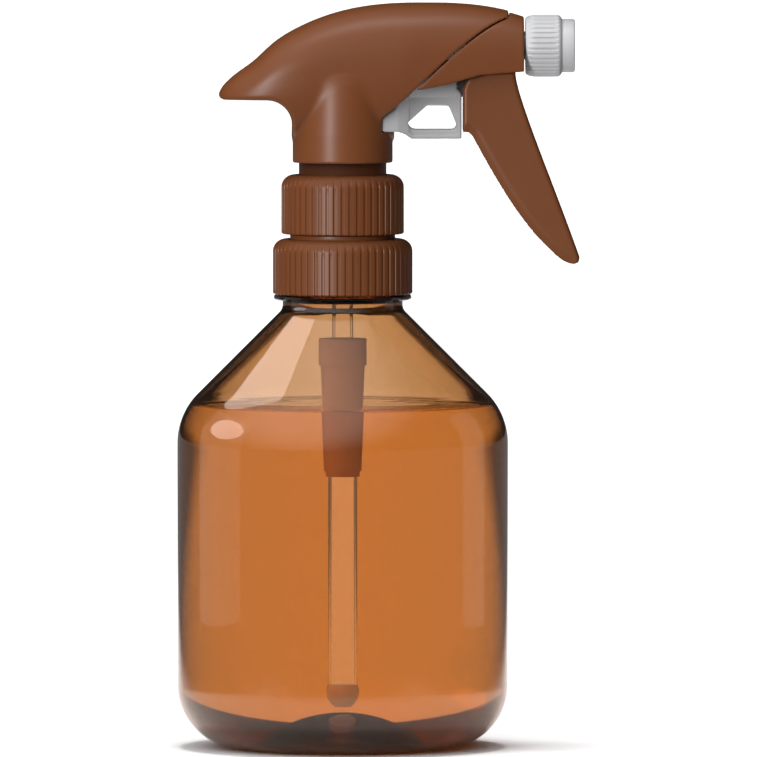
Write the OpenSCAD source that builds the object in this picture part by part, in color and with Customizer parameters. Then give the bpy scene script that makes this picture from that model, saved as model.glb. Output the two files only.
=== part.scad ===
// Trigger spray bottle: clear PET bottle, adapter ring, swivel nut and hand pump head.
// Millimetres. +Z up, +X towards the nozzle, origin at the centre of the base plane.

/* [Bottle] */
// Outer diameter of the bottle body
body_d = 79.5; // [76:0.5:84]
// Height at which the straight wall ends and the shoulder begins
shoulder_z = 73; // [70:0.5:74]
// Radius of the rounding between base and wall
base_r = 15; // [12:0.5:17]
// Radius of the rounding between wall and shoulder
shoulder_r = 17; // [15:0.5:19]
// Height of the push-up in the middle of the base
dome_h = 7.5; // [5:0.5:8]
// Wall thickness of the blown body
pet_wall = 0.7; // [0.5:0.1:1.1]
// Radius of the bore through the neck
neck_bore_r = 10.85; // [10.4:0.05:11]
// Top of the neck
lip_z = 119.8; // [119.4:0.1:119.8]

/* [Ribbed rings] */
// Outer radius of the lower ring, which screws on the bottle
ring_r = 16.75; // [16.5:0.05:17.5]
// Outer radius of the upper nut, which holds the head
nut_r = 14.7; // [14.5:0.05:15.5]
// Number of grip ribs round the lower ring
ring_ribs = 56; // [40:2:64]
// Number of grip ribs round the upper nut
nut_ribs = 50; // [40:2:60]
// Depth of the grooves between the ribs
rib_depth = 0.3; // [0.2:0.05:0.5]

/* [Threads] */
// Rise of both threads in one turn
pitch = 4.23; // [4.1:0.01:4.4]
// Length of each thread in turns
thread_turns = 1.4; // [1:0.1:1.5]

/* [Head] */
// Height of the nozzle axis
nozzle_z = 168.5; // [168:0.1:169]
// Highest point of the shroud
crown_z = 178.9; // [178:0.1:180]
// Half the width of the shroud
shroud_w = 10.9; // [10.6:0.1:12]
// Wall thickness of the shroud and front housing
shell = 1.3; // [1.1:0.1:1.5]

/* [Pump] */
// Height of the pump axis
pump_z = 158.8; // [158.6:0.1:159]
// Radius of the pump bore
pump_bore_r = 4; // [3.8:0.05:4]
// Radial gap of every sliding or turning fit
fit_gap = 0.05; // [0.03:0.01:0.08]

/* [Trigger] */
// Half the outer width of the trigger
trigger_w = 6.3; // [6.2:0.1:6.8]
// Wall thickness of the trigger
trigger_wall = 1.1; // [0.9:0.1:1.1]
// Distance of the trigger pivot in front of the bottle axis
pivot_x = 38; // [37.5:0.1:38.5]
// Height of the trigger pivot
pivot_z = 170.5; // [170:0.1:170.6]

/* [Hidden] */
$fn = 64;
body_r = body_d / 2;
ring_z = 109;
ring_top = 122.2;
nut_z = 123.4;
nut_top = 137.6;
gasket_top = lip_z + 1;
spigot_top = 134;
neck_thread_z = ring_z + 2.3;
nut_thread_z = nut_z + 2.2;
collar_z = 140.5;
low_z = 146;
nozzle_x = 43.8;
tail_x = -29.9;
front_x = 39.5;
housing_x = 43.6;
seam = [[39.5, 175.4], [29.7, 172.1], [16.8, 156.6], [10, 151.8]];
piston_end = 31.25;

// point at t on a cubic curve with the control points p
function cubic(p, t) = pow(1 - t, 3) * p[0] + 3 * pow(1 - t, 2) * t * p[1]
    + 3 * (1 - t) * t * t * p[2] + pow(t, 3) * p[3];

function curve(p, n) = [for (i = [0 : n]) cubic(p, i / n)];

// faces that skin a stack of closed sections, with both ends capped
function skin(rows, k) = concat(
    [[for (j = [0 : k - 1]) j]],
    [for (i = [0 : rows - 2], j = [0 : k - 1])
        [i * k + j, (i + 1) * k + j, i * k + (j + 1) % k]],
    [for (i = [0 : rows - 2], j = [0 : k - 1])
        [i * k + (j + 1) % k, (i + 1) * k + j, (i + 1) * k + (j + 1) % k]],
    [[for (j = [k - 1 : -1 : 0]) (rows - 1) * k + j]]
);

// straight pin or bore along X
module along_x(x0, x1, z, r1, r2) {
    translate([x0, 0, z])
        rotate([0, 90, 0])
            cylinder(h = x1 - x0, r1 = r1, r2 = r2);
}

// side profile in X and Z given a width across Y
module slab(half) {
    rotate([90, 0, 0])
        linear_extrude(height = 2 * half, center = true)
            children();
}

module ring(r_out, r_in, z0, z1) {
    difference() {
        translate([0, 0, z0])
            cylinder(h = z1 - z0, r = r_out);
        translate([0, 0, z0 - 1])
            cylinder(h = z1 - z0 + 2, r = r_in);
    }
}

// helical ridge from the wall radius r0 to the crest radius r1
module thread(r0, r1, z0) {
    steps = round(thread_turns * 28);
    foot = 1.1;
    crest = 0.6;
    dir = r1 > r0 ? 1 : -1;
    pts = [for (i = [0 : steps]) let (
            a = 360 * thread_turns * i / steps,
            z = z0 + pitch * thread_turns * i / steps,
            ends = min(1, 0.15 + min(i, steps - i) / 4),
            top = r0 + (r1 - r0) * ends,
            sec = [[r0 - 0.2 * dir, -foot], [top, -crest], [top, crest], [r0 - 0.2 * dir, foot]])
        for (s = sec) [s[0] * cos(a), s[0] * sin(a), z + s[1]]];
    faces = skin(steps + 1, 4);
    turned = [for (f = faces) [for (j = [len(f) - 1 : -1 : 0]) f[j]]];
    polyhedron(points = pts, faces = dir < 0 ? faces : turned);
}

// ---- bottle ----

// right half of the bottle's outline, drawn t inside its outer skin
module bottle_half(t) {
    slope = body_r - shoulder_r + shoulder_r * sin(45) + shoulder_z + shoulder_r * sin(45)
        - t * sqrt(2);
    tan_x = body_r - shoulder_r + (shoulder_r - t) * sin(45);
    neck_r = t > 0 ? neck_bore_r : 14.4;
    neck_z = slope - neck_r;
    translate([0, base_r])
        square([body_r - t, shoulder_z - base_r]);
    translate([0, t])
        square([body_r - base_r, base_r]);
    intersection() {
        translate([body_r - base_r, base_r])
            circle(r = base_r - t);
        square([body_r, base_r + 1]);
    }
    intersection() {
        translate([body_r - shoulder_r, shoulder_z])
            circle(r = shoulder_r - t);
        square([body_r, 120]);
    }
    polygon([[0, shoulder_z - 1], [tan_x - 1, shoulder_z - 1], [tan_x, slope - tan_x],
        [neck_r, neck_z], [0, neck_z]]);
    translate([0, neck_z - 1])
        square([neck_r, (t > 0 ? lip_z + 1 : ring_z - 0.5) - neck_z + 1]);
}

// push-up of the base, drawn t above its lower skin
module dome(t) {
    foot_r = body_r - base_r - 3.5;
    ball_r = (foot_r * foot_r + dome_h * dome_h) / (2 * dome_h);
    translate([0, 0, dome_h - ball_r])
        sphere(r = ball_r + t, $fn = 96);
}

module bottle() {
    color([0.62, 0.28, 0.08, 0.5])
        difference() {
            union() {
                rotate_extrude()
                    bottle_half(0);
                translate([0, 0, 107.6])
                    cylinder(h = 1.2, r = 16.5);
                translate([0, 0, 108])
                    cylinder(h = lip_z - 108, r = 12.5);
                thread(12.5, 13.7, neck_thread_z);
            }
            difference() {
                rotate_extrude()
                    bottle_half(pet_wall);
                intersection() {
                    dome(pet_wall);
                    cylinder(h = 20, r = body_r - base_r);
                }
            }
            intersection() {
                dome(0);
                translate([0, 0, -1])
                    cylinder(h = 20, r = body_r - base_r - 1);
            }
        }
}

module bottle_gasket() {
    color([0.9, 0.9, 0.88])
        ring(13.4, 10.9, lip_z, gasket_top);
}

// ---- ribbed rings ----

// grip ribs standing on a wall, n of them, with their crests at radius r
module ribs(n, r) {
    step = 360 / n;
    root = r - 2 * rib_depth;
    corners = [[root, 0.36], [r, 0.24], [r, -0.24], [root, -0.36]];
    for (i = [0 : n - 1])
        rotate(i * step)
            polygon([for (q = corners) [q[0] * cos(q[1] * step), q[0] * sin(q[1] * step)]]);
}

// ribbed cup with a rounded upper edge
module ribbed_cup(n, r, z0, z1) {
    edge = 3;
    wall = r - rib_depth;
    rotate_extrude() {
        translate([0, z0])
            square([wall, z1 - z0 - edge]);
        translate([0, z0])
            square([wall - edge, z1 - z0]);
        intersection() {
            translate([wall - edge, z1 - edge])
                circle(r = edge);
            translate([0, z1 - edge - 0.5])
                square([wall + 1, edge + 0.5]);
        }
    }
    translate([0, 0, z0])
        linear_extrude(height = z1 - z0 - edge + 0.6)
            ribs(n, r);
}

module neck_adapter() {
    color([0.42, 0.25, 0.15])
        difference() {
            union() {
                difference() {
                    ribbed_cup(ring_ribs, ring_r, ring_z, ring_top);
                    translate([0, 0, ring_z - 1])
                        cylinder(h = gasket_top - ring_z + 1, r = 13.95);
                }
                thread(13.95, 12.85, neck_thread_z + pitch / 2);
                translate([0, 0, gasket_top])
                    cylinder(h = nut_z - 0.2 - gasket_top, r = 12.6);
                translate([0, 0, gasket_top])
                    cylinder(h = spigot_top - gasket_top, r = 11);
                thread(11, 12.05, nut_thread_z);
            }
            translate([0, 0, gasket_top - 1])
                cylinder(h = 20, r = 9.2);
        }
}

module head_gasket() {
    color([0.9, 0.9, 0.88])
        ring(11, 3, spigot_top, spigot_top + 1);
}

module closure_nut() {
    color([0.42, 0.25, 0.15]) {
        difference() {
            ribbed_cup(nut_ribs, nut_r, nut_z, nut_top);
            translate([0, 0, nut_z - 1])
                cylinder(h = 13 + 1, r = 12.35);
            translate([0, 0, nut_z])
                cylinder(h = 20, r = 10.8);
        }
        thread(12.35, 11.35, nut_thread_z + pitch / 2);
    }
}

module swivel_neck() {
    color([0.42, 0.25, 0.15]) {
        ring(11.5, 5.3, spigot_top + 1, spigot_top + 2.3);
        ring(10.5, 5.3, spigot_top + 2, 147);
    }
}

// ---- head shells ----

// height of the shroud's ridge at x
function ridge(x) = crown_z - 1.4 * pow(abs(x - 19.8) / 17.5, 2.6)
    - exp(-pow((x + 21.5) / 4, 2));

// half width of the shroud at x
function half_width(x) = x < -8
    ? shroud_w * sqrt(1 - pow((-8 - x) / 22.4, 2.2))
    : x < 14 ? shroud_w
    : shroud_w - 2.3 * pow((x - 14) / 29.6, 1.3);

// egg section at x, drawn t inside the outer skin
function egg(x, t, k) = let (
        top = ridge(x) - t,
        mid = ridge(x) - 0.4 * (ridge(x) - low_z),
        w = max(0.5, half_width(x) - t))
    [for (j = [0 : k - 1]) let (
            c = cos(360 * j / k),
            s = sin(360 * j / k),
            up = s > 0 ? top - mid : mid - low_z - t)
        [x, w * sign(c) * pow(abs(c), 0.87), mid + up * sign(s) * pow(abs(s), 0.87)]];

module egg_body(x0, x1, t, rows) {
    k = 28;
    pts = [for (i = [0 : rows - 1])
        each egg(x0 + (x1 - x0) * pow(i / (rows - 1), 1.5), t, k)];
    polyhedron(points = pts, faces = skin(rows, k));
}

// upright boss that carries the shroud on the neck
module boss(r, top) {
    translate([0, 0, collar_z])
        cylinder(h = 7, r = r);
    translate([0, 0, collar_z + 7])
        cylinder(h = top - 4 - collar_z - 7, r1 = r, r2 = r - 0.5);
    translate([0, 0, top - 4])
        cylinder(h = 3, r1 = r - 0.5, r2 = r - 1);
    translate([0, 0, top - 1])
        cylinder(h = 2.5, r1 = r - 1, r2 = r - 3);
}

module shroud() {
    color([0.42, 0.25, 0.15])
        difference() {
            union() {
                difference() {
                    egg_body(tail_x, front_x, 0, 20);
                    slab(30)
                        polygon(concat(curve(seam, 12), [[10, 130], [60, 130], [60, 175.4]]));
                    slab(30)
                        under_tail(0);
                }
                difference() {
                    boss(12, 162);
                    translate([9.5, -15, collar_z + 7.4])
                        cube([10, 30, 30]);
                }
            }
            difference() {
                egg_body(tail_x + shell, front_x + 1, shell, 20);
                slab(30)
                    under_tail(shell);
            }
            translate([0, 0, collar_z - 1])
                cylinder(h = 10, r = 10.7);
            translate([0, 0, collar_z + 8])
                cylinder(h = 10, r1 = 10.7, r2 = 9.6);
        }
}

// what is cut away below the tail, with the hollow curve into the collar, raised by t
module under_tail(t) {
    root = [-18.1, 149.6];
    root_r = 6;
    translate([-50, 120])
        square([root[0] + root_r + t + 50, root[1] - 120]);
    translate([-50, 149])
        square([root[0] + 50, root[1] + root_r + t - 149]);
    intersection() {
        translate(root)
            circle(r = root_r + t);
        translate([root[0] - 1, root[1] - 1])
            square([20, 20]);
    }
}

module front_housing() {
    inset = 0.35;
    color([0.42, 0.25, 0.15])
        difference() {
            intersection() {
                egg_body(8, housing_x, inset, 12);
                slab(30)
                    translate([0.15, -0.15])
                        polygon(concat([for (p = curve(seam, 24)) if (p[0] > 16.4) p],
                            [[24.6, 159.3], [33, 161.7], [43.45, 162.5], [43.45, 176.5],
                             [40, 176.5]]));
            }
            egg_body(7, housing_x - 1.2, inset + shell, 12);
            along_x(40, 45, nozzle_z, 4.9, 4.9);
        }
}

// ---- pump ----

module pump_chassis() {
    color([0.9, 0.9, 0.9])
        difference() {
            union() {
                chassis_frame();
                along_x(9.9, 27.3, pump_z, 4.7, 4.7);
                along_x(-3.5, 46, nozzle_z, 3.4, 3.4);
                along_x(nozzle_x + 0.4, 50.5, nozzle_z, 4.3, 4.3);
                translate([0, 0, 136])
                    cylinder(h = 30, r = 5.2);
                translate([0, -2.5, 156])
                    cube([22, 5, 12]);
                translate([pivot_x, 0, pivot_z])
                    rotate([90, 0, 0])
                        cylinder(h = 2 * 4.8, r = 1.3, center = true);
            }
            along_x(11, 40, pump_z, pump_bore_r, pump_bore_r);
            along_x(0, 12, pump_z, 1.2, 1.2);
            along_x(0, 30, nozzle_z, 1.1, 1.1);
            along_x(29.5, 55, nozzle_z, 1.9, 1.9);
            translate([0, 0, 135])
                cylinder(h = 17, r = 2.6);
            translate([0, 0, 150])
                cylinder(h = nozzle_z - 150, r = 1.4);
        }
}

// open frame below the pump, wider where it meets the collar
module chassis_frame() {
    intersection() {
        slab(6.9)
            difference() {
                polygon([[5, 148], [13.2, 148], [14.8, 147.5], [16.5, 146.3], [28.5, 146.3],
                    [28.5, 157.1], [26.2, 160], [12.6, 160], [12.6, 153.8], [9.8, 151.6], [5, 151.6]]);
                polygon(concat(
                    [for (a = [180 : 22.5 : 270]) [17.4 + 1.7 * cos(a), 150.2 + 1.7 * sin(a)]],
                    [for (a = [270 : 22.5 : 380]) [26.1 + 1.1 * cos(a), 149.6 + 1.1 * sin(a)]],
                    [for (a = [20 : 22.5 : 90]) [24.6 + 1.2 * cos(a), 153.1 + 1.2 * sin(a)]],
                    [for (a = [90 : 15 : 135]) [21 + 1.6 * cos(a), 152.8 + 1.6 * sin(a)]]));
            }
        union() {
            translate([4, -4.6, 140])
                cube([6, 9.2, 30]);
            translate([0, 0, 140])
                linear_extrude(height = 30)
                    polygon([[9.6, -6.9], [13, -6.9], [17, -4.6], [30, -4.6], [30, 4.6], [17, 4.6],
                        [13, 6.9], [9.6, 6.9]]);
        }
    }
}

module piston() {
    color([0.92, 0.92, 0.9])
        difference() {
            union() {
                along_x(19.5, 20.3, pump_z, pump_bore_r - fit_gap, pump_bore_r - fit_gap);
                along_x(20.3, 22.2, pump_z, 3.2, 3.2);
                along_x(22.2, 23, pump_z, pump_bore_r - fit_gap, pump_bore_r - fit_gap);
                along_x(23, 30, pump_z, 2.6, 2.6);
                along_x(29.8, piston_end, pump_z, 3.6, 3.6);
            }
            along_x(19, 28, pump_z, 1.6, 1.6);
        }
}

module piston_seal() {
    color([0.15, 0.15, 0.15])
        difference() {
            along_x(20.35, 22.15, pump_z, pump_bore_r - fit_gap, pump_bore_r - fit_gap);
            along_x(20, 23, pump_z, 3.25, 3.25);
        }
}

// round wire coiled along X
module coil(x0, x1, z, r, wire, turns) {
    steps = turns * 14;
    k = 6;
    pts = [for (i = [0 : steps], j = [0 : k - 1]) let (
            a = 360 * turns * i / steps,
            b = 360 * j / k,
            q = r + wire * cos(b))
        [x0 + wire + (x1 - x0 - 2 * wire) * i / steps + wire * sin(b), q * cos(a), z + q * sin(a)]];
    polyhedron(points = pts, faces = skin(steps + 1, k));
}

module return_spring() {
    color([0.7, 0.7, 0.72])
        coil(11.1, 19.4, pump_z, 3, 0.35, 5);
}

module outlet_spring() {
    color([0.7, 0.7, 0.72])
        coil(32.5, 36.4, nozzle_z, 1.3, 0.2, 4);
}

module inlet_ball() {
    color([0.8, 0.8, 0.82])
        translate([0, 0, 146.05])
            sphere(r = 1.9);
}

module ball_cage() {
    color([0.9, 0.9, 0.9])
        union() {
            ring(2.6, 1.9, 149.4, 150.4);
            translate([-2.3, -0.4, 149.4])
                cube([4.6, 0.8, 1]);
        }
}

module valve_seat() {
    color([0.9, 0.9, 0.9])
        difference() {
            ring(2.6, 1.2, 141.2, 144.5);
            translate([0, 0, 140])
                cylinder(h = 2, r = 1.6);
        }
}

module outlet_ball() {
    color([0.8, 0.8, 0.82])
        translate([30.72, 0, nozzle_z])
            sphere(r = 1.6);
}

module spinner() {
    color([0.9, 0.9, 0.9])
        difference() {
            along_x(36.5, 50, nozzle_z, 1.75, 1.75);
            for (a = [0 : 120 : 240])
                translate([36, 0, nozzle_z])
                    rotate([a, 0, 0])
                        translate([0, -0.3, 1.2])
                            cube([15, 0.6, 2]);
        }
}

// ---- nozzle ----

module nozzle_seal() {
    color([0.15, 0.15, 0.15])
        difference() {
            along_x(50.55, 51.3, nozzle_z, 4, 4);
            along_x(50, 52, nozzle_z, 2.4, 2.4);
        }
}

module nozzle_cap() {
    grip_r = 7.45 - rib_depth;
    color([0.9, 0.9, 0.9])
        difference() {
            union() {
                along_x(nozzle_x, nozzle_x + 2, nozzle_z, 6.7, grip_r);
                along_x(nozzle_x + 2, 51.4, nozzle_z, grip_r, grip_r);
                along_x(51.4, 52.8, nozzle_z, grip_r, 6.5);
                translate([nozzle_x + 1.6, 0, nozzle_z])
                    rotate([0, 90, 0])
                        linear_extrude(height = 6)
                            ribs(36, 7.45);
                along_x(52, 55.4, nozzle_z, 6.4, 6.4);
                along_x(55.4, 55.7, nozzle_z, 6.4, 6.1);
            }
            along_x(nozzle_x - 1, 50.55, nozzle_z, 4.3 + fit_gap, 4.3 + fit_gap);
            along_x(50, 51.5, nozzle_z, 4.1, 4.1);
            along_x(51, 53.5, nozzle_z, 1.6, 1.6);
            along_x(53.2, 57, nozzle_z, 2.5, 2.5);
            along_x(54.9, 57, nozzle_z, 5, 5.3);
        }
}

module orifice_insert() {
    color([0.35, 0.35, 0.35])
        difference() {
            along_x(53.5, 55.2, nozzle_z, 2.4, 2.4);
            along_x(53, 56, nozzle_z, 0.35, 0.35);
        }
}

// ---- trigger ----

// finger lever seen from the side
module lever_side() {
    polygon(concat(
        curve([[41.4, 162], [41.2, 157.3], [50.5, 135.8], [56.8, 117.7]], 14),
        [[56.5, 116.7], [55.5, 116.3], [54.2, 116.5]],
        curve([[52.7, 117.2], [44, 123.5], [37, 136], [31.3, 146.5]], 12),
        [[30.8, 147.3], [30, 147.9], [28.7, 147.9], [28.7, 158.3], [30.5, 162]]));
}

module trigger() {
    inner = trigger_w - trigger_wall;
    color([0.42, 0.25, 0.15])
        difference() {
            union() {
                difference() {
                    slab(trigger_w)
                        lever_side();
                    slab(inner)
                        intersection() {
                            union() {
                                translate([-1.7, 0.4])
                                    lever_side();
                                translate([-7, 0])
                                    lever_side();
                            }
                            translate([0, 119])
                                square([60, 41]);
                        }
                }
                slab(4.85)
                    polygon([[31, 160.5], [40.8, 160.5], [40.5, pivot_z], [35.5, pivot_z]]);
                slab(4.85)
                    translate([pivot_x, pivot_z])
                        circle(r = 2.5);
                translate([33, 0, pump_z])
                    rotate([90, 0, 0])
                        cylinder(h = 2 * trigger_w - 0.4, r = 1.5, center = true);
            }
            slab(3.75)
                translate([20, 159.5])
                    square([30, 20]);
            translate([pivot_x, 0, pivot_z])
                rotate([90, 0, 0])
                    cylinder(h = 20, r = 1.3 + fit_gap, center = true);
        }
}

// ---- tubes ----

module inlet_tube() {
    color([0.85, 0.85, 0.85, 0.5])
        ring(2.5, 1.9, 86, 141.1);
}

module tube_holder() {
    color([0.45, 0.3, 0.2])
        difference() {
            union() {
                translate([0, 0, 91.6])
                    cylinder(h = 6.4, r = 5.75);
                translate([0, 0, 66.5])
                    cylinder(h = 25.2, r1 = 4.2, r2 = 5.3);
                translate([0, 0, 65.2])
                    cylinder(h = 1.4, r = 3.8);
            }
            translate([0, 0, 60])
                cylinder(h = 24, r = 3.3);
            translate([0, 0, 80])
                cylinder(h = 20, r = 2.55);
        }
}

module dip_tube() {
    color([0.85, 0.6, 0.5, 0.5])
        difference() {
            translate([0, 0, 12])
                cylinder(h = 71.9, r = 3.25);
            translate([0, 0, 11])
                cylinder(h = 74, r = 2.6);
        }
}

module tube_foot() {
    color([0.85, 0.6, 0.5])
        difference() {
            translate([0, 0, 13.5])
                sphere(r = 3.75);
            translate([0, 0, 12])
                cylinder(h = 8, r = 3.3);
            translate([0, 0, 8])
                cylinder(h = 8, r = 1.8);
        }
}

bottle();
bottle_gasket();
neck_adapter();
head_gasket();
closure_nut();
swivel_neck();
pump_chassis();
shroud();
front_housing();
trigger();
piston();
piston_seal();
return_spring();
inlet_ball();
ball_cage();
valve_seat();
outlet_ball();
outlet_spring();
spinner();
nozzle_seal();
nozzle_cap();
orifice_insert();
inlet_tube();
tube_holder();
dip_tube();
tube_foot();
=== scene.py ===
import math
import bmesh
import bpy
import numpy as np
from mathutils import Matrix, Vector


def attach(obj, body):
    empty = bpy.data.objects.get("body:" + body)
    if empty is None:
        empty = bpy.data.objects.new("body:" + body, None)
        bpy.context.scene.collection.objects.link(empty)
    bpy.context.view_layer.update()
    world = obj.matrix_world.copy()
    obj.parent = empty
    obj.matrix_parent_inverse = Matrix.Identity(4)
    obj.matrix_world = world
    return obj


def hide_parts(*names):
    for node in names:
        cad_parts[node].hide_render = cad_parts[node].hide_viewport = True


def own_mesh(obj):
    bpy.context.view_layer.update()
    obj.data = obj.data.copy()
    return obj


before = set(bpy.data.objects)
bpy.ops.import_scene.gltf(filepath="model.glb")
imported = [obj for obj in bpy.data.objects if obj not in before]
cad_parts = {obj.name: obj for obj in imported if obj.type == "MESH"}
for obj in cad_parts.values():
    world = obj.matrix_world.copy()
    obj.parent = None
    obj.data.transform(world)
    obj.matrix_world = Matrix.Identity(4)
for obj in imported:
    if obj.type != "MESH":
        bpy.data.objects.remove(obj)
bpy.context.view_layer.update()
MM = 0.001


# ---- Camera, table and light ----
# A long lens a little above the bottle, a pale table that runs out of sight behind it, and
# studio light: a key to the left and one over the crown for the plastic head, two tall strips
# and two round softboxes that the clear bottle mirrors, and a broad sun over the table.

# turns an sRGB hex colour to linear
def linear(code):
    parts = [int(code[i:i + 2], 16) / 255 for i in (1, 3, 5)]
    return [c / 12.92 if c < 0.04045 else ((c + 0.055) / 1.055) ** 2.4 for c in parts] + [1.0]


# adds a node with its values, links and settings
def add(tree, kind, put=(), link=(), **props):
    made = tree.nodes.new("ShaderNode" + kind)
    for key, value in props.items():
        setattr(made, key, value)
    for key, value in dict(put).items():
        made.inputs[key].default_value = value
    for key, value in dict(link).items():
        tree.links.new(value, made.inputs[key])
    return made


aim = Vector((0.0086, 0, 0.0886))
lens = bpy.data.cameras.new("long_lens")
lens.sensor_width = 36
eye = Vector((aim.x, -3.67, 0.275))
lens.lens = 36 * (eye - aim).length / 0.18168
lens.clip_start = 0.1
lens.clip_end = 100
camera = bpy.data.objects.new("camera", lens)
camera.location = eye
camera.rotation_euler = (aim - eye).to_track_quat("-Z", "Y").to_euler()
bpy.context.scene.collection.objects.link(camera)
bpy.context.scene.camera = camera
bpy.context.scene.view_settings.view_transform = "Standard"

table_mesh = bpy.data.meshes.new("table")
table_mesh.from_pydata([(-20, -20, 0), (20, -20, 0), (20, 30, 0), (-20, 30, 0)], [], [(0, 1, 2, 3)])
table = bpy.data.objects.new("table", table_mesh)
bpy.context.scene.collection.objects.link(table)
# pale laminate: matt white, with a cloudy print some 17 mm across that is too weak to show
laminate = bpy.data.materials.new("pale_laminate")
laminate.use_nodes = True
tree = laminate.node_tree
shader = tree.nodes["Principled BSDF"]
spot = add(tree, "TexCoord")
grain = add(tree, "TexNoise", {"Scale": 1000 / 16.7, "Detail": 3.0}, {"Vector": spot.outputs["Object"]})
tone = add(tree, "ValToRGB", link={"Fac": grain.outputs["Fac"]})
tone.color_ramp.elements[0].color = linear("#f6f6f6")
tone.color_ramp.elements[1].color = linear("#fafafa")
# painted shade: its sides and its front edge run off to grey, which draws the dark edges of the clear bottle,
# and the white strip between them, a painted pool of light, widens as it runs back
split = add(tree, "SeparateXYZ", link={"Vector": spot.outputs["Object"]})
aside = add(tree, "Math", operation="ABSOLUTE", link={0: split.outputs["X"]})
widening = -0.026
spread = add(tree, "Math", {1: widening}, {0: split.outputs["Y"], 2: aside.outputs["Value"]},
             operation="MULTIPLY_ADD")
grey = 0.16
beside = add(tree, "MapRange", {"From Min": 0.097, "From Max": 0.2, "To Min": 1.0, "To Max": grey},
             {"Value": spread.outputs["Value"]}, interpolation_type="SMOOTHSTEP")
before = add(tree, "MapRange", {"From Min": -0.04, "From Max": -0.2, "To Min": 1.0, "To Max": grey},
             {"Value": split.outputs["Y"]}, interpolation_type="SMOOTHSTEP")
fade = add(tree, "Math", operation="MINIMUM", link={0: beside.outputs["Result"], 1: before.outputs["Result"]})
shaded = add(tree, "VectorMath", link={0: tone.outputs["Color"], "Scale": fade.outputs["Value"]},
             operation="SCALE")
tree.links.new(shaded.outputs["Vector"], shader.inputs["Base Color"])
shader.inputs["Roughness"].default_value = 1.0
shader.inputs["Specular IOR Level"].default_value = 0.0
table_mesh.materials.append(laminate)

# the room: light from the upper left in front, dark low down, so that the bottle's edges are dark
studio = bpy.data.worlds.new("studio")
studio.use_nodes = True
bpy.context.scene.world = studio
tree = studio.node_tree
facing = add(tree, "TexCoord")
toward = add(tree, "VectorMath", {1: (-0.33, -0.5, 0.8)}, {0: facing.outputs["Generated"]},
             operation="DOT_PRODUCT")
walls = add(tree, "MapRange", {"From Min": 0.35, "From Max": 1.0, "To Min": 0.03, "To Max": 1.65},
            {"Value": toward.outputs["Value"]}, interpolation_type="SMOOTHSTEP")
back = tree.nodes["Background"]
tree.links.new(walls.outputs["Result"], back.inputs["Strength"])
back.inputs["Color"].default_value = (1, 1, 1, 1)


# a softbox that stands round the bottle, with 0 in front, and faces its middle
def softbox(name, azimuth, height, distance, width, tall, watts):
    light = bpy.data.lights.new(name, "AREA")
    light.shape = "RECTANGLE"
    light.size = width
    light.size_y = tall
    light.energy = watts
    box = bpy.data.objects.new(name, light)
    turn = math.radians(azimuth)
    box.location = (distance * math.sin(turn), -distance * math.cos(turn), height)
    box.rotation_euler = (Vector((0, 0, 0.1)) - box.location).to_track_quat("-Z", "Y").to_euler()
    bpy.context.scene.collection.objects.link(box)
    return box


key = softbox("key_box", -30, 0.2, 1.3, 0.24, 0.34, 14)
crown_light = softbox("crown_light", -10, 1.3, 0.5, 0.7, 0.3, 6)
band_left = softbox("band_left", -93, 0.14, 0.32, 0.25, 0.27, 0.09)
band_right = softbox("band_right", 100, 0.14, 0.32, 0.14, 0.27, 0.045)
bend_glow = softbox("bend_glow", -93, 0.42, 1.0, 0.6, 0.4, 1.9)
gleam = softbox("gleam_box", -121, 1.0, 0.72, 0.55, 0.7, 2.6)
for light in (bend_glow, gleam):
    light.data.shape = "ELLIPSE"
overhead = bpy.data.objects.new("overhead", bpy.data.lights.new("overhead", "SUN"))
overhead.data.energy = 2.15
overhead.data.angle = math.radians(14)
bpy.context.scene.collection.objects.link(overhead)
# flags: each light has its own list of what it lights, and the lists are filled once the pieces
# are there. The key and the crown light stay off the clear bottle, the strips and round boxes
# light only the bottle, and the overhead lights only the table.
for light in (key, crown_light, band_left, band_right, bend_glow, gleam, overhead):
    light.light_linking.receiver_collection = bpy.data.collections.new("lit_by_" + light.name)
overhead.light_linking.receiver_collection.objects.link(table)


# ---- Bottle ----
# Blow-moulded from a preform in clear amber PET: a thin round body, a thick neck with a
# support ring and a screw thread, and a base pushed up in the middle so that it stands flat.
def arc(cx, cz, r, start, end, n):
    steps = [math.radians(start + (end - start) * i / n) for i in range(n + 1)]
    return [(cx + r * math.cos(a), cz + r * math.sin(a)) for a in steps]


# turns a profile of radius and height round the axis, with swell's bumps added to the radius
def lathe(name, profile, around=192, swell=None, axis="Z", shift=(0, 0, 0), closed=False):
    points = np.array(profile, float)
    turn = np.arange(around) * 2 * math.pi / around
    r = np.repeat(points[:, :1], around, 1)
    h = np.repeat(points[:, 1:], around, 1)
    a = np.repeat(turn[None, :], len(points), 0)
    if swell:
        r = r + swell(a, r, h)
    if axis == "Z":
        verts = np.stack([r * np.cos(a), r * np.sin(a), h], -1)
    else:
        verts = np.stack([h, r * np.cos(a), r * np.sin(a)], -1)
    verts = (verts.reshape(-1, 3) + np.array(shift)) * MM
    rows = len(points)
    faces = []
    last = rows if closed else rows - 1
    for i in range(last):
        k = (i + 1) % rows
        for j in range(around):
            n = (j + 1) % around
            faces.append((i * around + j, i * around + n, k * around + n, k * around + j))
    mesh = bpy.data.meshes.new(name)
    mesh.from_pydata(verts.tolist(), [], faces)
    mesh.validate()
    tidy_mesh(mesh)
    piece = bpy.data.objects.new(name, mesh)
    bpy.context.scene.collection.objects.link(piece)
    return piece


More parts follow.
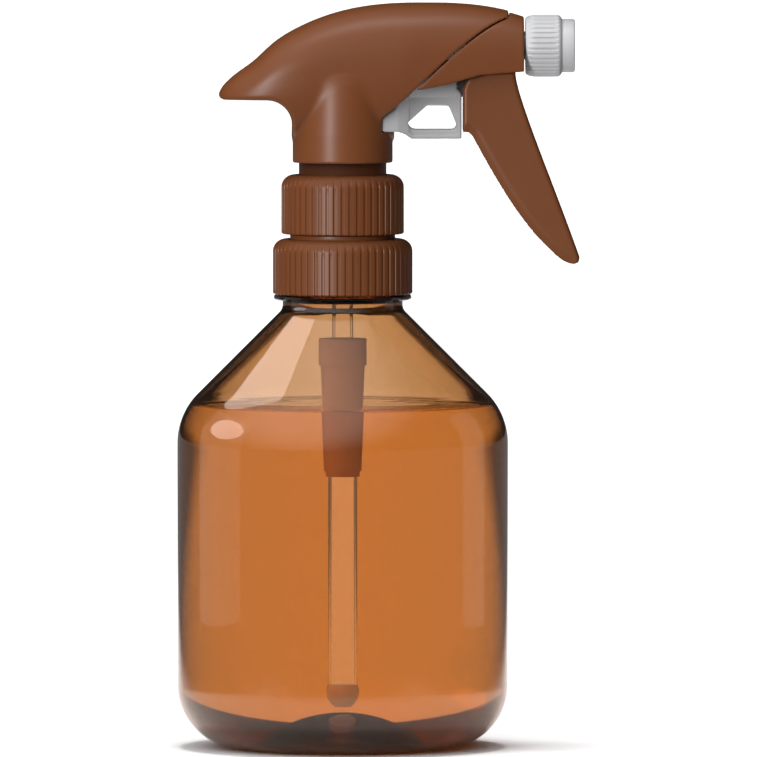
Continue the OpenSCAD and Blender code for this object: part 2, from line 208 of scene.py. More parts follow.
# joins doubled points, faces all outward, and smooths but for edges sharper than the angle
def tidy_mesh(mesh, sharp=40):
    work = bmesh.new()
    work.from_mesh(mesh)
    bmesh.ops.remove_doubles(work, verts=work.verts, dist=1e-6)
    bmesh.ops.dissolve_degenerate(work, edges=work.edges, dist=1e-7)
    bmesh.ops.recalc_face_normals(work, faces=work.faces)
    work.to_mesh(mesh)
    work.free()
    mesh.shade_smooth()
    mesh.set_sharp_from_angle(angle=math.radians(sharp))


BODY_R, BASE_R, SHOULDER_R, SHOULDER_Z = 39.72, 15.0, 17.0, 73.0
DOME_H, WALL, LIP_Z, BORE_R = 7.5, 0.7, 119.8, 10.85
NECK_R, NECK_BORE_R, THREAD_ROOT_R, FLANGE_R = 14.4, 13.42, 12.5, 16.5
PITCH, NECK_THREAD_Z = 4.23, 111.3


def bottle_side(t, neck_r, top):
    foot = BODY_R - BASE_R - 3.5
    ball = (foot ** 2 + DOME_H ** 2) / (2 * DOME_H)
    edge = math.degrees(math.asin(foot / ball))
    side = arc(0, DOME_H - ball, ball + t, 90, 90 - edge * 0.93, 24)
    side += arc(BODY_R - BASE_R, BASE_R, BASE_R - t, -90, 0, 24)
    side += arc(BODY_R - SHOULDER_R, SHOULDER_Z, SHOULDER_R - t, 0, 45, 20)
    r, z = side[-1]
    side += [(r - (r - neck_r - 1.2) * i / 12, z + (r - neck_r - 1.2) * i / 12) for i in range(1, 13)]
    r, z = side[-1]
    side += arc(neck_r + 2.9, z + 2.9 * 0.42 + 1.1, 2.9, 215, 180, 6)
    return side + [(neck_r, top)]


# one screw ridge of the shared pitch, run out over 1 mm at both ends
def thread(a, z, start, first, last, depth):
    along = (z - start) / PITCH - a / (2 * math.pi)
    off = (along - np.round(along)) * PITCH
    ramp = np.clip(z - first, 0, 1) * np.clip(last - z, 0, 1)
    return depth * np.clip((1.1 - np.abs(off)) / 0.45, 0, 1) * ramp


def neck_thread(a, r, z):
    return np.where((r > 12) & (z > 110), thread(a, z, NECK_THREAD_Z, 110.6, 118.6, 1.2), 0)


outside = bottle_side(0, NECK_R, 107.3)
finish = [(NECK_R, 107.6), (FLANGE_R - 0.3, 107.6), (FLANGE_R, 107.9), (FLANGE_R, 108.5)]
finish += [(FLANGE_R - 0.3, 108.8), (THREAD_ROOT_R, 108.9)]
finish += [(THREAD_ROOT_R, 110 + 0.24 * i) for i in range(38)]
finish += [(THREAD_ROOT_R, LIP_Z - 0.4), (12.1, LIP_Z), (BORE_R + 0.3, LIP_Z), (BORE_R, LIP_Z - 0.4)]
# the base keeps more of the preform's thickness than the body does
THICK_BASE, THICK_R = 0.8, 24
inside = [(r, z + THICK_BASE * (1 - (r / THICK_R) ** 4) if z < 12 and r < THICK_R else z)
          for r, z in bottle_side(WALL, NECK_BORE_R, 107.0)]
inside = [(BORE_R, 109.6)] + inside[::-1]
bottle = lathe("bottle_skin", outside + finish + inside, 256, neck_thread)
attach(bottle, "bottle")
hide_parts("bottle")

# amber PET as blown: colour is in the wall, so it deepens where the eye looks along it, and the
# wall keeps a slow ripple, some 18 mm from crest to crest, that bends the highlights
amber = bpy.data.materials.new("amber_pet_blown")
amber.use_nodes = True
tree = amber.node_tree
shader = tree.nodes["Principled BSDF"]
spot = add(tree, "TexCoord")
ripple = add(tree, "TexNoise", {"Scale": 1000 / 18.2, "Detail": 2.0}, {"Vector": spot.outputs["Object"]})
wave = add(tree, "Bump", {"Strength": 0.05, "Distance": 0.0004}, {"Height": ripple.outputs["Fac"]})
tree.links.new(wave.outputs["Normal"], shader.inputs["Normal"])
shader.inputs["Base Color"].default_value = (1, 1, 1, 1)
shader.inputs["Transmission Weight"].default_value = 1.0
shader.inputs["Roughness"].default_value = 0.02
shader.inputs["IOR"].default_value = 1.5
stain = add(tree, "VolumeAbsorption", {"Color": (0.74, 0.48, 0.13, 1), "Density": 1750.0})
tree.links.new(stain.outputs["Volume"], tree.nodes["Material Output"].inputs["Volume"])
bottle.data.materials.append(amber)


# ---- Liquid ----
# The cleaning liquid fills the body to just above the shoulder's bend. Its outside follows
# the inside of the wall, and its top is flat with a small lip where it creeps up the wall.
LEVEL, AIR = 82.6, 0.06
skin = [p for p in bottle_side(WALL + AIR, BORE_R, 108) if p[1] < LEVEL - 0.8]
rim_r = BODY_R - SHOULDER_R + math.sqrt((SHOULDER_R - WALL - AIR) ** 2 - (LEVEL - SHOULDER_Z) ** 2)
surface = [(rim_r, LEVEL), (rim_r - 0.5, LEVEL - 0.25), (rim_r - 1.6, LEVEL - 0.4)]
surface += [(rim_r - 10, LEVEL - 0.42), (6.6, LEVEL - 0.4), (6.0, LEVEL - 0.3), (5.2, LEVEL - 0.2)]
liquid = lathe("cleaning_liquid", skin + surface + [(0, LEVEL - 0.3)], 192)
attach(liquid, "bottle")
# the film that creeps up the wall, seen from the side as the dark line of the level
lip = [(rim_r - 0.9, LEVEL - 0.5), (rim_r - 0.05, LEVEL - 0.5), (rim_r - 0.05, LEVEL + 0.1),
       (rim_r - 0.4, LEVEL - 0.2)]
creep = lathe("liquid_meniscus", lip, 192, closed=True)
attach(creep, "bottle")
# water-based cleaner, lightly coloured, with no more than a faint bend of the light and a
# slow swell of some 33 mm
cleaner = bpy.data.materials.new("water_based_cleaner")
cleaner.use_nodes = True
tree = cleaner.node_tree
shader = tree.nodes["Principled BSDF"]
shader.inputs["Transmission Weight"].default_value = 1.0
shader.inputs["Base Color"].default_value = (1, 1, 1, 1)
shader.inputs["Roughness"].default_value = 0.0
shader.inputs["IOR"].default_value = 1.07
spot = add(tree, "TexCoord")
swell = add(tree, "TexNoise", {"Scale": 1000 / 33.3, "Detail": 2.0}, {"Vector": spot.outputs["Object"]})
ripple = add(tree, "Bump", {"Strength": 0.01, "Distance": 0.0003}, {"Height": swell.outputs["Fac"]})
tree.links.new(ripple.outputs["Normal"], shader.inputs["Normal"])
stain = add(tree, "VolumeAbsorption", {"Color": (0.945, 0.595, 0.064, 1), "Density": 22.0})
tree.links.new(stain.outputs["Volume"], tree.nodes["Material Output"].inputs["Volume"])
liquid.data.materials.append(cleaner)
# the same cleaner where it clings in a film, made dense and brown: painted shade that draws the dark line of
# the level
film = cleaner.copy()
film.name = "cleaner_film_painted_dark"
film.node_tree.nodes["Volume Absorption"].inputs["Color"].default_value = (0.6, 0.4, 0.2, 1)
film.node_tree.nodes["Volume Absorption"].inputs["Density"].default_value = 900.0
creep.data.materials.append(film)


# ---- Dip tube and its holder ----
# A natural polyethylene tube cut to reach the base, with a rounded foot, pushed into a brown
# moulded holder that hangs under the pump on a thinner tube.

# Injection-moulded plastic: a faint drift of tone and gloss along the flow of the melt, some
# 22 mm across, and the fine grain of the mould's etched steel, which gives a satin, not a mirror.
def moulded(name, low, high, rough, grain_mm, shine=0.5):
    made = bpy.data.materials.new(name)
    made.use_nodes = True
    tree = made.node_tree
    shader = tree.nodes["Principled BSDF"]
    spot = add(tree, "TexCoord")
    flow = add(tree, "TexNoise", {"Scale": 1000 / 22.2, "Detail": 4.0}, {"Vector": spot.outputs["Object"]})
    tone = add(tree, "ValToRGB", link={"Fac": flow.outputs["Fac"]})
    tone.color_ramp.elements[0].position = 0.3
    tone.color_ramp.elements[1].position = 0.7
    tone.color_ramp.elements[0].color = linear(low)
    tone.color_ramp.elements[1].color = linear(high)
    tree.links.new(tone.outputs["Color"], shader.inputs["Base Color"])
    spark = add(tree, "TexNoise", {"Scale": 1000.0 / grain_mm, "Detail": 2.0},
                {"Vector": spot.outputs["Object"]})
    gloss = add(tree, "MapRange", {"To Min": rough - 0.04, "To Max": rough + 0.04},
                {"Value": flow.outputs["Fac"]})
    tree.links.new(gloss.outputs["Result"], shader.inputs["Roughness"])
    pit = add(tree, "Bump", {"Strength": 0.12, "Distance": 0.00003}, {"Height": spark.outputs["Fac"]})
    tree.links.new(pit.outputs["Normal"], shader.inputs["Normal"])
    shader.inputs["Specular IOR Level"].default_value = shine
    return made


def dress(material, *nodes):
    for name in nodes:
        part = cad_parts[name]
        part.data.materials.clear()
        part.data.materials.append(material)


def set_shader(material, **values):
    shader = material.node_tree.nodes["Principled BSDF"]
    for key, value in values.items():
        shader.inputs[key.replace("_", " ")].default_value = value


# unpigmented polyethylene, drawn: clear with a milky veil; its faint bluish glow is painted light that lifts
# the tube brighter than its lamps make it
natural_pe_painted_glow = moulded("natural_polyethylene_tube", "#fffaf6", "#fffcfa", 0.12, 0.4, 0.5)
set_shader(natural_pe_painted_glow, Transmission_Weight=1.0, IOR=1.07, Emission_Color=(0.41, 0.7, 1.0, 1.0),
           Emission_Strength=0.08)

tube_side = [(2.6, 12.0), (3.2, 12.0), (3.25, 12.2)] + [(3.25, 12.2 + 7.1 * i) for i in range(1, 10)]
tube_side += [(3.25, 83.8), (3.15, 83.9), (2.6, 83.9)]
dip = lathe("dip_tube_drawn", tube_side, 64, closed=True)
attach(dip, "head")
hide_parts("dip_tube")
dip.data.materials.append(natural_pe_painted_glow)
# the thinner tube above the holder is clear enough to be lost against the amber
clear_pe = natural_pe_painted_glow.copy()
clear_pe.name = "clear_polyethylene_tube"
set_shader(clear_pe, IOR=1.03, Emission_Strength=0.0)
dress(clear_pe, "inlet_tube")
# the foot is solid and cloudier; its glow is painted light that makes it shine where the thin tube is clear
cloudy_pe_painted_glow = moulded("natural_polyethylene_solid", "#e8b894", "#eebe9a", 0.25, 0.4, 0.5)
set_shader(cloudy_pe_painted_glow, Emission_Color=(0.9, 0.72, 0.66, 1.0), Emission_Strength=0.3)
dress(cloudy_pe_painted_glow, "tube_foot")
# the holder is brown polypropylene coloured pale and given a faint glow: painted light, for the light that
# the lit liquid throws on it
holder_pp_painted_light = moulded("brown_polypropylene_holder_painted_light", "#f0c6aa", "#f4ccb0", 0.35, 0.35)
set_shader(holder_pp_painted_light, Emission_Color=(1.0, 0.56, 0.4, 1.0), Emission_Strength=0.07)
dress(holder_pp_painted_light, "tube_holder")


# ---- Ribbed rings ----
# Two injection-moulded screw rings in brown polypropylene with fine upright grip ribs that
# die out over the rounded top edge. The lower one carries the thread that the nut runs on.
def grip(count, r_out, top, edge, depth):
    def grooves(a, r, z):
        wave = a * count / (2 * math.pi)
        off = np.abs(wave - np.round(wave))
        cut = np.clip((off - 0.27) / 0.10, 0, 1)
        cut = cut * cut * (3 - 2 * cut)
        fade = np.clip((top - z - 0.7) / (edge * 0.9), 0, 1)
        return np.where(r > r_out - edge * 0.75, -depth * cut * fade, 0)
    return grooves


SPIGOT_THREAD_Z = 125.6


def spigot_thread(a, r, z):
    on_spigot = (z > 124) & (r > 10.5) & (r < 11.5)
    return np.where(on_spigot, thread(a, z, SPIGOT_THREAD_Z, 124.6, 133, 1.0), 0)


# pigmented polypropylene, satin: broad soft highlights and almost no mirror
brown_pp = moulded("brown_polypropylene_satin", "#61361c", "#65391e", 0.38, 0.35, 0.2)
RING_R, NUT_R, EDGE_R, GROOVE, RING_RIBS, NUT_RIBS = 16.75, 14.7, 3.0, 0.32, 56, 50
lower = [(13.95, 109.3), (14.2, 109.0), (RING_R - 0.3, 109.0), (RING_R, 109.3)]
lower += [(RING_R, 109.3 + 0.99 * i) for i in range(1, 10)] + [(RING_R, 119.0)]
lower += arc(RING_R - EDGE_R, 119.2, EDGE_R, 0, 90, 14)
lower += [(12.7, 122.2), (12.6, 122.4), (12.6, 123.1), (12.5, 123.2), (11.0, 123.25)]
lower += [(11.0, 124.0 + 0.25 * i) for i in range(38)]
lower += [(11.0, 133.8), (10.8, 134.0), (9.3, 134.0), (9.2, 133.8), (9.2, 120.9), (9.3, 120.8)]
lower += [(13.95, 120.8)]
ring_cut = grip(RING_RIBS, RING_R, 122.2, EDGE_R, GROOVE)
ring = lathe("adapter_ring", lower, RING_RIBS * 14,
             lambda a, r, z: np.where(z < 122.15, ring_cut(a, r, z), spigot_thread(a, r, z)), closed=True)
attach(ring, "adapter")
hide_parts("neck_adapter")
ring.data.materials.append(brown_pp)

upper = [(12.35, 123.7), (12.6, 123.4), (NUT_R - 0.3, 123.4), (NUT_R, 123.7)]
upper += [(NUT_R, 123.7 + 1.06 * i) for i in range(1, 10)] + [(NUT_R, 134.4)]
upper += arc(NUT_R - EDGE_R, 134.6, EDGE_R, 0, 90, 14)
upper += [(11.1, 137.6), (10.8, 137.4), (10.8, 136.4), (12.35, 136.4)]
nut = lathe("swivel_nut", upper, NUT_RIBS * 14, grip(NUT_RIBS, NUT_R, 137.6, EDGE_R, GROOVE), closed=True)
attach(nut, "nut")
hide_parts("closure_nut")
nut.data.materials.append(brown_pp)

throat = [(5.3, 135.0), (11.4, 135.0), (11.5, 135.1), (11.5, 136.2), (11.4, 136.3), (10.5, 136.3)]
throat += [(10.5, 146.8), (10.3, 147.0), (5.3, 147.0)]
neck = lathe("head_neck", throat, 128, closed=True)
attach(neck, "head")
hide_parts("swivel_neck")
neck.data.materials.append(brown_pp)


# ---- Shroud ----
# The brown top cover, an injection-moulded shell: an egg-shaped back that runs out to a
# tail, melted into an upright boss and collar that sit over the neck.

# Shapes here are fields, in mm: below zero inside, above zero outside. melt joins two and fills
# the corner between them over k.
def melt(a, b, k):
    h = np.clip(0.5 + 0.5 * (b - a) / k, 0, 1)
    return b * (1 - h) + a * h - k * h * (1 - h)


# keeps what is inside both, with the new edge rounded over k
def cut(a, b, k):
    return -melt(-a, -b, k)


# a closed outline seen from the side, as a field
def outline(points):
    corner = np.array(points, float)

    def distance(x, z):
        x, z = np.broadcast_arrays(x, z)
        best = np.full(x.shape, 1e9)
        inside = np.zeros(x.shape, bool)
        for p, q in zip(corner, np.roll(corner, -1, 0)):
            e = q - p
            t = np.clip(((x - p[0]) * e[0] + (z - p[1]) * e[1]) / (e @ e + 1e-12), 0, 1)
            best = np.minimum(best, (x - p[0] - e[0] * t) ** 2 + (z - p[1] - e[1] * t) ** 2)
            if e[1] != 0:
                crosses = (p[1] <= z) != (q[1] <= z)
                inside ^= crosses & (x < p[0] + (z - p[1]) * e[0] / e[1])
        return np.where(inside, -1, 1) * np.sqrt(best)
    return distance


# a curve through n steps, pulled by its two middle points
def bend(p, n):
    t = np.linspace(0, 1, n + 1)[:, None]
    p = np.array(p, float)
    start = (1 - t) ** 3 * p[0] + 3 * (1 - t) ** 2 * t * p[1]
    return (start + 3 * (1 - t) * t * t * p[2] + t ** 3 * p[3]).tolist()


# turns a field into a mesh: one point in each grid cell that the surface crosses, drawn on to it
def cast(name, field, low, high, cell, sharp=50):
    axes = [np.arange(low[i] - 1.5 * cell, high[i] + 2.5 * cell, cell) for i in range(3)]
    value = field(axes[0][:, None, None], axes[1][None, :, None], axes[2][None, None, :])
    value = np.ascontiguousarray(np.broadcast_to(value, [len(a) for a in axes]))
    value = np.where(value == 0, 1e-6, value)
    shape = np.array(value.shape)
    total = np.zeros(tuple(shape - 1) + (3,))
    count = np.zeros(tuple(shape - 1), np.int32)
    crossing = []
    for ax in range(3):
        a = np.moveaxis(value, ax, 0)
        first, second = a[:-1], a[1:]
        hit = np.argwhere((first < 0) != (second < 0))
        f0, f1 = first[tuple(hit.T)], second[tuple(hit.T)]
        share = f0 / (f0 - f1)
        others = [i for i in range(3) if i != ax]
        grid = np.zeros((len(hit), 3), int)
        grid[:, ax] = hit[:, 0]
        grid[:, others[0]] = hit[:, 1]
        grid[:, others[1]] = hit[:, 2]
        place = grid.astype(float)
        place[:, ax] += share
        crossing.append((grid, f0 < 0))
        for u in (0, 1):
            for v in (0, 1):
                cellid = grid.copy()
                cellid[:, others[0]] -= u
                cellid[:, others[1]] -= v
                np.add.at(total, tuple(cellid.T), place)
                np.add.at(count, tuple(cellid.T), 1)
    used = np.argwhere(count > 0)
    index = np.full(count.shape, -1)
    index[tuple(used.T)] = np.arange(len(used))
    start = np.array([a[0] for a in axes])
    verts = start + total[tuple(used.T)] / count[tuple(used.T)][:, None] * cell
    for _ in range(4):
        here = field(*verts.T)
        eps = 0.02
        slope = np.stack([(field(*(verts + eps * np.eye(3)[i]).T) - here) / eps for i in range(3)], 1)
        move = (here / np.maximum((slope ** 2).sum(1), 0.05))[:, None] * slope
        size = np.linalg.norm(move, axis=1, keepdims=True)
        verts = verts - move * np.minimum(1, 0.4 * cell / np.maximum(size, 1e-9)) * 0.8
    faces = []
    for ax in range(3):
        grid, outward = crossing[ax]
        u, v = [i for i in range(3) if i != ax]
        corners = []
        for du, dv in ((1, 1), (0, 1), (0, 0), (1, 0)):
            c = grid.copy()
            c[:, u] -= du
            c[:, v] -= dv
            corners.append(index[tuple(c.T)])
        quad = np.stack(corners, 1)
        flip = outward if ax != 1 else ~outward
        quad[~flip] = quad[~flip][:, ::-1]
        faces.append(quad)
    mesh = bpy.data.meshes.new(name)
    mesh.from_pydata((verts * MM).tolist(), [], np.concatenate(faces).tolist())
    mesh.validate()
    tidy_mesh(mesh, sharp)
    piece = bpy.data.objects.new(name, mesh)
    bpy.context.scene.collection.objects.link(piece)
    return piece


CROWN_Z, LOW_Z, HALF_W, SHELL = 178.88, 146.0, 10.9, 1.3
FINE = 0.35
SEAM = [[39.5, 175.4], [29.7, 172.1], [16.8, 156.6], [10, 151.8]]


# the crown's line in side view, from the tail to the nose
def ridge(x):
    return CROWN_Z - 1.4 * (np.abs(x - 19.8) / 17.5) ** 2.6 - np.exp(-((x + 21.5) / 4) ** 2)


# half the head's width along its length: it narrows to the tail and a little to the nozzle
def half_width(x):
    tail = HALF_W * np.sqrt(np.maximum(1 - (np.maximum(-8 - x, 0) / 22.4) ** 2.2, 0.02))
    front = HALF_W - 2.3 * (np.maximum(x - 14, 0) / 29.6) ** 1.3
    return np.minimum(tail, front)


# the rounded section between the two, drawn in by t
def egg(x, y, z, t=0.0):
    top = ridge(x)
    mid = top - 0.4 * (top - LOW_Z)
    wide = np.maximum(half_width(x) - t, 0.4)
    tall = np.where(z > mid, top - t - mid, mid - LOW_Z - t)
    g = ((np.abs(y) / wide) ** 2.3 + (np.abs(z - mid) / tall) ** 2.3) ** (1 / 2.3)
    r = np.hypot(y, z - mid)
    return np.where(r < 0.5, -4.0, r * (1 - 1 / np.maximum(g, 1e-3)))


below_tail = outline([[-60, 120], [-12.1, 120], [-12.1, 149.6]] + arc(-18.1, 149.6, 6, 0, 90, 10)
                     + [[-60, 155.6]])
below_seam = outline(bend(SEAM, 16) + [[9.5, 151.3], [9.5, 147.9], [12.4, 147.9], [12.4, 130], [70, 130],
                                       [70, 176]])


def shroud_solid(x, y, z):
    back = cut(egg(x, y, z), -below_tail(x, z), 1.2)
    back = cut(back, -29.9 - x, 2.0)
    boss_r = np.interp(z, [140.5, 147.5, 156, 159.5, 161.5, 163.5], [12, 12, 11.6, 11.3, 10.8, 9.0])
    boss = cut(np.hypot(x, y) - boss_r, z - 163, 1.5)
    return melt(back, boss, 0.8)


def shroud_field(x, y, z):
    solid = shroud_solid(x, y, z)
    shell = cut(solid, -(solid + SHELL), 0.3)
    shell = cut(shell, -below_seam(x, z), 0.5)
    shell = cut(shell, x - 39.75, 0.4)
    return cut(shell, 140.5 - z, 0.4)


shroud = cast("shroud_shell", shroud_field, (-30, -12.2, 140.4), (39.8, 12.2, 179), FINE)
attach(shroud, "head")
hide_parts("shroud")
shroud.data.materials.append(brown_pp)


# ---- Front housing ----
# A second brown moulding that closes the head between the shroud's slanted edge and the
# nozzle. It clips in 0.4 mm below the shroud's surface and is open underneath.
JET_Z = 168.5
inside_seam = outline([p for p in (np.array(bend(SEAM, 24)) + [0.2, -0.2]).tolist() if p[0] > 16.6]
                      + [[24.6, 159.3], [33, 161.7], [43.6, 162.5], [43.6, 177], [40.05, 177]])


def housing_field(x, y, z):
    solid = egg(x, y, z, 0.35)
    shell = cut(solid, -(solid + SHELL), 0.3)
    plate = np.maximum(solid, 42.4 - x)
    hole = np.hypot(y, z - JET_Z) - 4.9
    whole = np.minimum(shell, plate)
    whole = cut(whole, inside_seam(x, z), 0.35)
    return cut(np.maximum(whole, -hole), x - 43.6, 0.5)


housing = cast("housing_shell", housing_field, (16, -11, 156), (43.7, 11, 178), FINE)
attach(housing, "head")
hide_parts("front_housing")
housing.data.materials.append(brown_pp)


# ---- Trigger ----
# One brown moulding, a channel open to the back: two cheeks and a curved front wall for the
# fingers, with bevelled back edges, a nose that pushes the piston and two ears on the pins.
PUMP_Z, PIN_X, PIN_Z = 158.8, 38, 170.5
front_edge = bend([[41.4, 162.5], [41.2, 157.3], [50.5, 135.8], [56.8, 117.9]], 16)
back_edge = bend([[52.7, 117.2], [44, 123.5], [37, 136], [31.3, 146.5]], 16)
back_edge += [[30.8, 147.3], [30, 147.9], [28.75, 147.9], [28.75, 158.3], [30.5, 162.5]]
lever_edge = outline(front_edge + [[56.5, 116.7], [55.5, 116.3], [54.2, 116.5]] + back_edge)


# how far a place is from an open line, which sets the depth of the bevels
def path_distance(points):
    line = np.array(points, float)

    def distance(x, z):
        x, z = np.broadcast_arrays(x, z)
        best = np.full(x.shape, 1e9)
        for p, q in zip(line[:-1], line[1:]):
            e = q - p
            t = np.clip(((x - p[0]) * e[0] + (z - p[1]) * e[1]) / (e @ e + 1e-12), 0, 1)
            best = np.minimum(best, (x - p[0] - e[0] * t) ** 2 + (z - p[1] - e[1] * t) ** 2)
        return np.sqrt(best)
    return distance


from_back = path_distance([[54.2, 116.5]] + back_edge[:-2])


# a flat plate of the given outline and half thickness, with its edges rounded by r
def slab(edge, half, y, r):
    u, v = edge + r, np.abs(y) - half + r
    return np.hypot(np.maximum(u, 0), np.maximum(v, 0)) + np.minimum(np.maximum(u, v), 0) - r


def trigger_field(x, y, z):
    side = lever_edge(x, z)
    body = slab(side, 6.3, y, 1.0)
    body = cut(body, (np.abs(y) - 5.4 - 0.5 * from_back(x, z)) * 0.9, 0.3)
    hollow = np.minimum(lever_edge(x + 1.7, z - 0.4), lever_edge(x + 5, z))
    hollow = np.maximum(np.maximum(hollow, 119 - z), z - 160)
    hollow = cut(hollow, np.abs(y) - 5.0, 0.5)
    body = cut(body, -hollow, 0.4)
    nose = np.maximum(np.hypot(x - 33, z - PUMP_Z) - 1.5, np.abs(y) - 6.0)
    ear_side = np.minimum(outline([[31, 160.5], [40.8, 160.5], [40.5, 170.5], [35.5, 170.5]])(x, z),
                          np.hypot(x - PIN_X, z - PIN_Z) - 2.5)
    ears = slab(ear_side, 4.85, y, 0.3)
    whole = np.minimum(np.minimum(body, nose), ears)
    slot_box = np.maximum(np.maximum(np.abs(y) - 3.75, 159.5 - z), 20 - x)
    pin = np.hypot(x - PIN_X, z - PIN_Z) - 1.35
    return np.maximum(np.maximum(whole, -slot_box), -pin)


trigger = cast("finger_lever", trigger_field, (28.5, -6.4, 116), (57, 6.4, 173.2), FINE * 0.9)
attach(trigger, "trigger")
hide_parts("trigger")
trigger.data.materials.append(brown_pp)


# ---- Pump body ----
# White polypropylene, all one moulding: an open frame with a window, the pump cylinder, the
# barrel out to the nozzle, the stem down into the neck and the two pins for the trigger.
frame_edge = outline([[5, 148], [13.2, 148], [14.8, 147.5], [16.5, 146.3], [28.5, 146.3], [28.5, 157.1],
                      [26.2, 160], [12.6, 160], [12.6, 153.8], [9.8, 151.6], [5, 151.6]])
window_edge = outline(arc(17.4, 150.2, 1.7, 180, 270, 5) + arc(26.1, 149.6, 1.1, 270, 380, 5)
                      + arc(24.6, 153.1, 1.2, 20, 90, 4) + arc(21, 152.8, 1.6, 90, 135, 3))
half_plan = [[4, -4.6], [9.6, -4.6], [9.6, -6.9], [13, -6.9], [17, -4.6], [30, -4.6]]
plan_edge = outline(half_plan + [[x, -y] for x, y in half_plan[::-1]])


def chassis_field(x, y, z):
    side = cut(frame_edge(x, z), -window_edge(x, z), 0.3)
    plate = cut(cut(side, plan_edge(x, y), 0.6), np.abs(y) - 6.9, 0.3)
    sunk = np.maximum(np.maximum(frame_edge(x, z) + 1.1, 3.9 - np.abs(y)), 16 - x)
    plate = cut(plate, -sunk, 0.4)
    pump = np.maximum(np.hypot(y, z - PUMP_Z) - 4.7, np.maximum(9.9 - x, x - 27.3))
    barrel = np.maximum(np.hypot(y, z - JET_Z) - 3.4, np.maximum(-3.5 - x, x - 46))
    hub = np.maximum(np.hypot(y, z - JET_Z) - 4.3, np.maximum(44.2 - x, x - 50.5))
    stem = np.maximum(np.hypot(x, y) - 5.2, np.maximum(136 - z, z - 166))
    web = np.maximum(np.maximum(np.abs(x - 11) - 11, np.abs(y) - 2.5), np.abs(z - 162) - 6)
    pins = np.maximum(np.hypot(x - PIN_X, z - PIN_Z) - 1.3, np.abs(y) - 4.8)
    whole = np.minimum(np.minimum(np.minimum(plate, pump), np.minimum(barrel, hub)),
                       np.minimum(np.minimum(stem, web), pins))
    bore = np.maximum(np.hypot(y, z - PUMP_Z) - 4.0, 11 - x)
    jet = np.maximum(np.hypot(y, z - JET_Z) - 1.9, 29.5 - x)
    intake = np.maximum(np.hypot(x, y) - 2.6, z - 152)
    return np.maximum(np.maximum(whole, -bore), np.maximum(-jet, -intake))


chassis = cast("pump_body", chassis_field, (-5.4, -7, 135.9), (50.6, 7, 172.1), FINE)
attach(chassis, "head")
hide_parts("pump_chassis")
# the pump body is left natural, a little whiter than the nozzle
chassis_pp = moulded("natural_white_polypropylene", "#dcdcde", "#e0e0e2", 0.4, 0.3, 0.3)
chassis.data.materials.append(chassis_pp)


# ---- Nozzle ----
# A white screw-on cap with moulded grip ribs round the barrel and a plain ring in front.
# It turns on the hub to close, to stream and to spray.
cap_side = [(4.35, 43.8), (6.5, 43.8), (6.8, 43.9), (7.15, 44.5), (7.4, 45.6)]
cap_side += [(7.45, 46.2 + 0.6 * i) for i in range(8)] + [(7.43, 51.0)]
cap_side += arc(6.15, 51.3, 1.27, 0, 60, 6) + [(6.55, 52.55), (6.42, 52.62), (6.36, 52.8), (6.4, 53.0)]
cap_side += [(6.42, 54.0), (6.4, 55.2), (6.3, 55.5), (6.05, 55.65), (5.5, 55.65), (5.3, 55.5), (5.05, 54.9)]
cap_side += [(2.5, 54.9), (2.5, 53.5), (1.6, 53.5), (1.6, 51.5), (4.1, 51.5), (4.1, 50.6), (4.35, 50.55)]


def cap_ribs(a, r, h):
    wave = a * 36 / (2 * math.pi)
    off = np.abs(wave - np.round(wave))
    dip_in = np.clip((off - 0.2) / 0.2, 0, 1)
    dip_in = dip_in * dip_in * (3 - 2 * dip_in)
    along = np.clip((h - 44.6) / 1.2, 0, 1) * np.clip((51.9 - h) / 1.0, 0, 1)
    return np.where(r > 6.6, -0.32 * dip_in * along, 0)


# the same satin polypropylene as the brown parts, pigmented white
white_pp = moulded("white_polypropylene_satin", "#a8a8aa", "#adadaf", 0.4, 0.3, 0.3)
cap = lathe("nozzle_grip", cap_side, 36 * 14, cap_ribs, axis="X", shift=(0, 0, JET_Z), closed=True)
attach(cap, "nozzle")
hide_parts("nozzle_cap")
cap.data.materials.append(white_pp)


# ---- Small parts ----
# What sits inside the head: piston, valves, springs, seals and liners. The springs are coiled
# here from round wire, and each other part keeps its CAD shape and gets its own material.

# acetal comes out of the mould with a slight sheen, rubber dull and near black, foam chalky
grey_pom = moulded("grey_acetal", "#55575a", "#5d5f62", 0.35, 0.25)
black_rubber = moulded("black_nitrile_rubber", "#1c1c1d", "#242425", 0.6, 0.2)
foam_liner = moulded("foamed_polyethylene_liner", "#e4e3de", "#edece8", 0.7, 0.15)
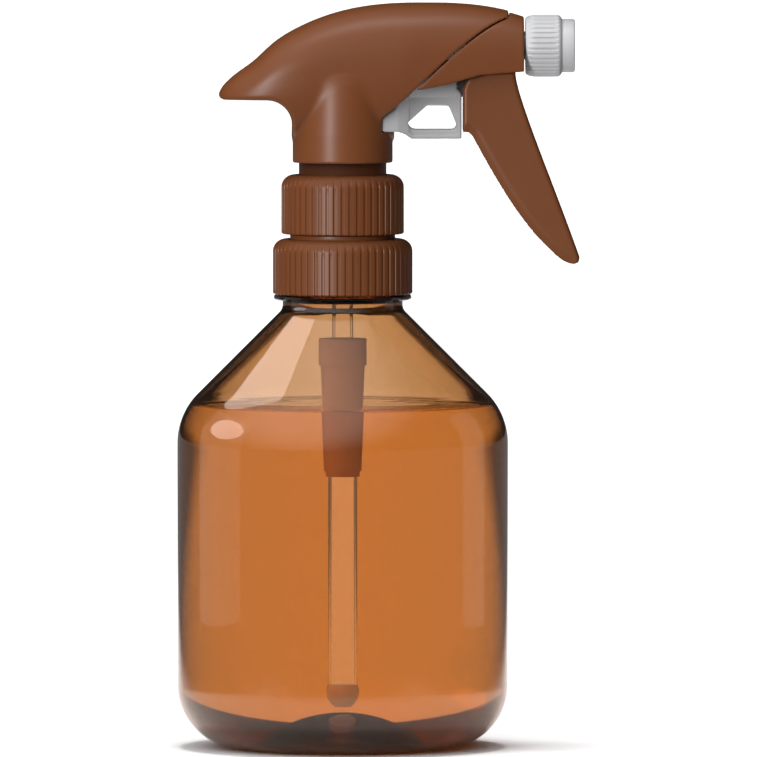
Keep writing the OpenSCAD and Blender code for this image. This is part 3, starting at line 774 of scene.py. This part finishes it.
# drawn stainless steel: bright, with faint marks every millimetre or so, drawn coarser than the
# real ones so that they break up its highlights
steel = bpy.data.materials.new("drawn_stainless_wire")
steel.use_nodes = True
tree = steel.node_tree
shader = tree.nodes["Principled BSDF"]
spot = add(tree, "TexCoord")
drawn = add(tree, "TexNoise", {"Scale": 1000 / 1.1, "Detail": 3.0}, {"Vector": spot.outputs["Object"]})
tone = add(tree, "ValToRGB", link={"Fac": drawn.outputs["Fac"]})
tone.color_ramp.elements[0].color = linear("#a9abad")
tone.color_ramp.elements[1].color = linear("#c4c5c7")
tree.links.new(tone.outputs["Color"], shader.inputs["Base Color"])
gloss = add(tree, "MapRange", {"To Min": 0.2, "To Max": 0.34}, {"Value": drawn.outputs["Fac"]})
tree.links.new(gloss.outputs["Result"], shader.inputs["Roughness"])
shader.inputs["Metallic"].default_value = 1.0
dress(steel, "inlet_ball", "outlet_ball")


def wire_coil(name, start, end, height, radius, wire, turns):
    steps, sides = turns * 40, 12
    verts, faces = [], []
    for i in range(steps + 1):
        a = 2 * math.pi * turns * i / steps
        x = start + wire + (end - start - 2 * wire) * i / steps
        for j in range(sides):
            b = 2 * math.pi * j / sides
            r = radius + wire * math.cos(b)
            place = (x + wire * math.sin(b), r * math.cos(a), height + r * math.sin(a))
            verts.append([c * MM for c in place])
    for i in range(steps):
        for j in range(sides):
            n = (j + 1) % sides
            faces.append((i * sides + j, i * sides + n, (i + 1) * sides + n, (i + 1) * sides + j))
    faces += [tuple(range(sides)), tuple(range(steps * sides, (steps + 1) * sides))]
    mesh = bpy.data.meshes.new(name)
    mesh.from_pydata(verts, [], faces)
    tidy_mesh(mesh)
    piece = bpy.data.objects.new(name, mesh)
    bpy.context.scene.collection.objects.link(piece)
    piece.data.materials.append(steel)
    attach(piece, "head")
    return piece


# the piston squeezes one spring against the pump's end, the ball squeezes the other on the spinner
pusher = wire_coil("return_coil", 11.1, 19.4, PUMP_Z, 3.0, 0.34, 5)
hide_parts("return_spring")
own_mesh(pusher)
closer = wire_coil("outlet_coil", 32.5, 36.4, JET_Z, 1.3, 0.19, 4)
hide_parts("outlet_spring")
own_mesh(closer)
dress(white_pp, "piston", "ball_cage", "valve_seat", "spinner")
dress(black_rubber, "piston_seal", "nozzle_seal")
dress(foam_liner, "bottle_gasket", "head_gasket")
dress(grey_pom, "orifice_insert")


# ---- Which light falls on what, and the end ----
# The flags named at the top are filled here.
for light in (band_left, band_right, bend_glow, gleam):
    light.light_linking.receiver_collection.objects.link(bottle)
for piece in (ring, nut, shroud, housing, trigger, cap):
    key.light_linking.receiver_collection.objects.link(piece)
for piece in (shroud, housing, cap):
    crown_light.light_linking.receiver_collection.objects.link(piece)
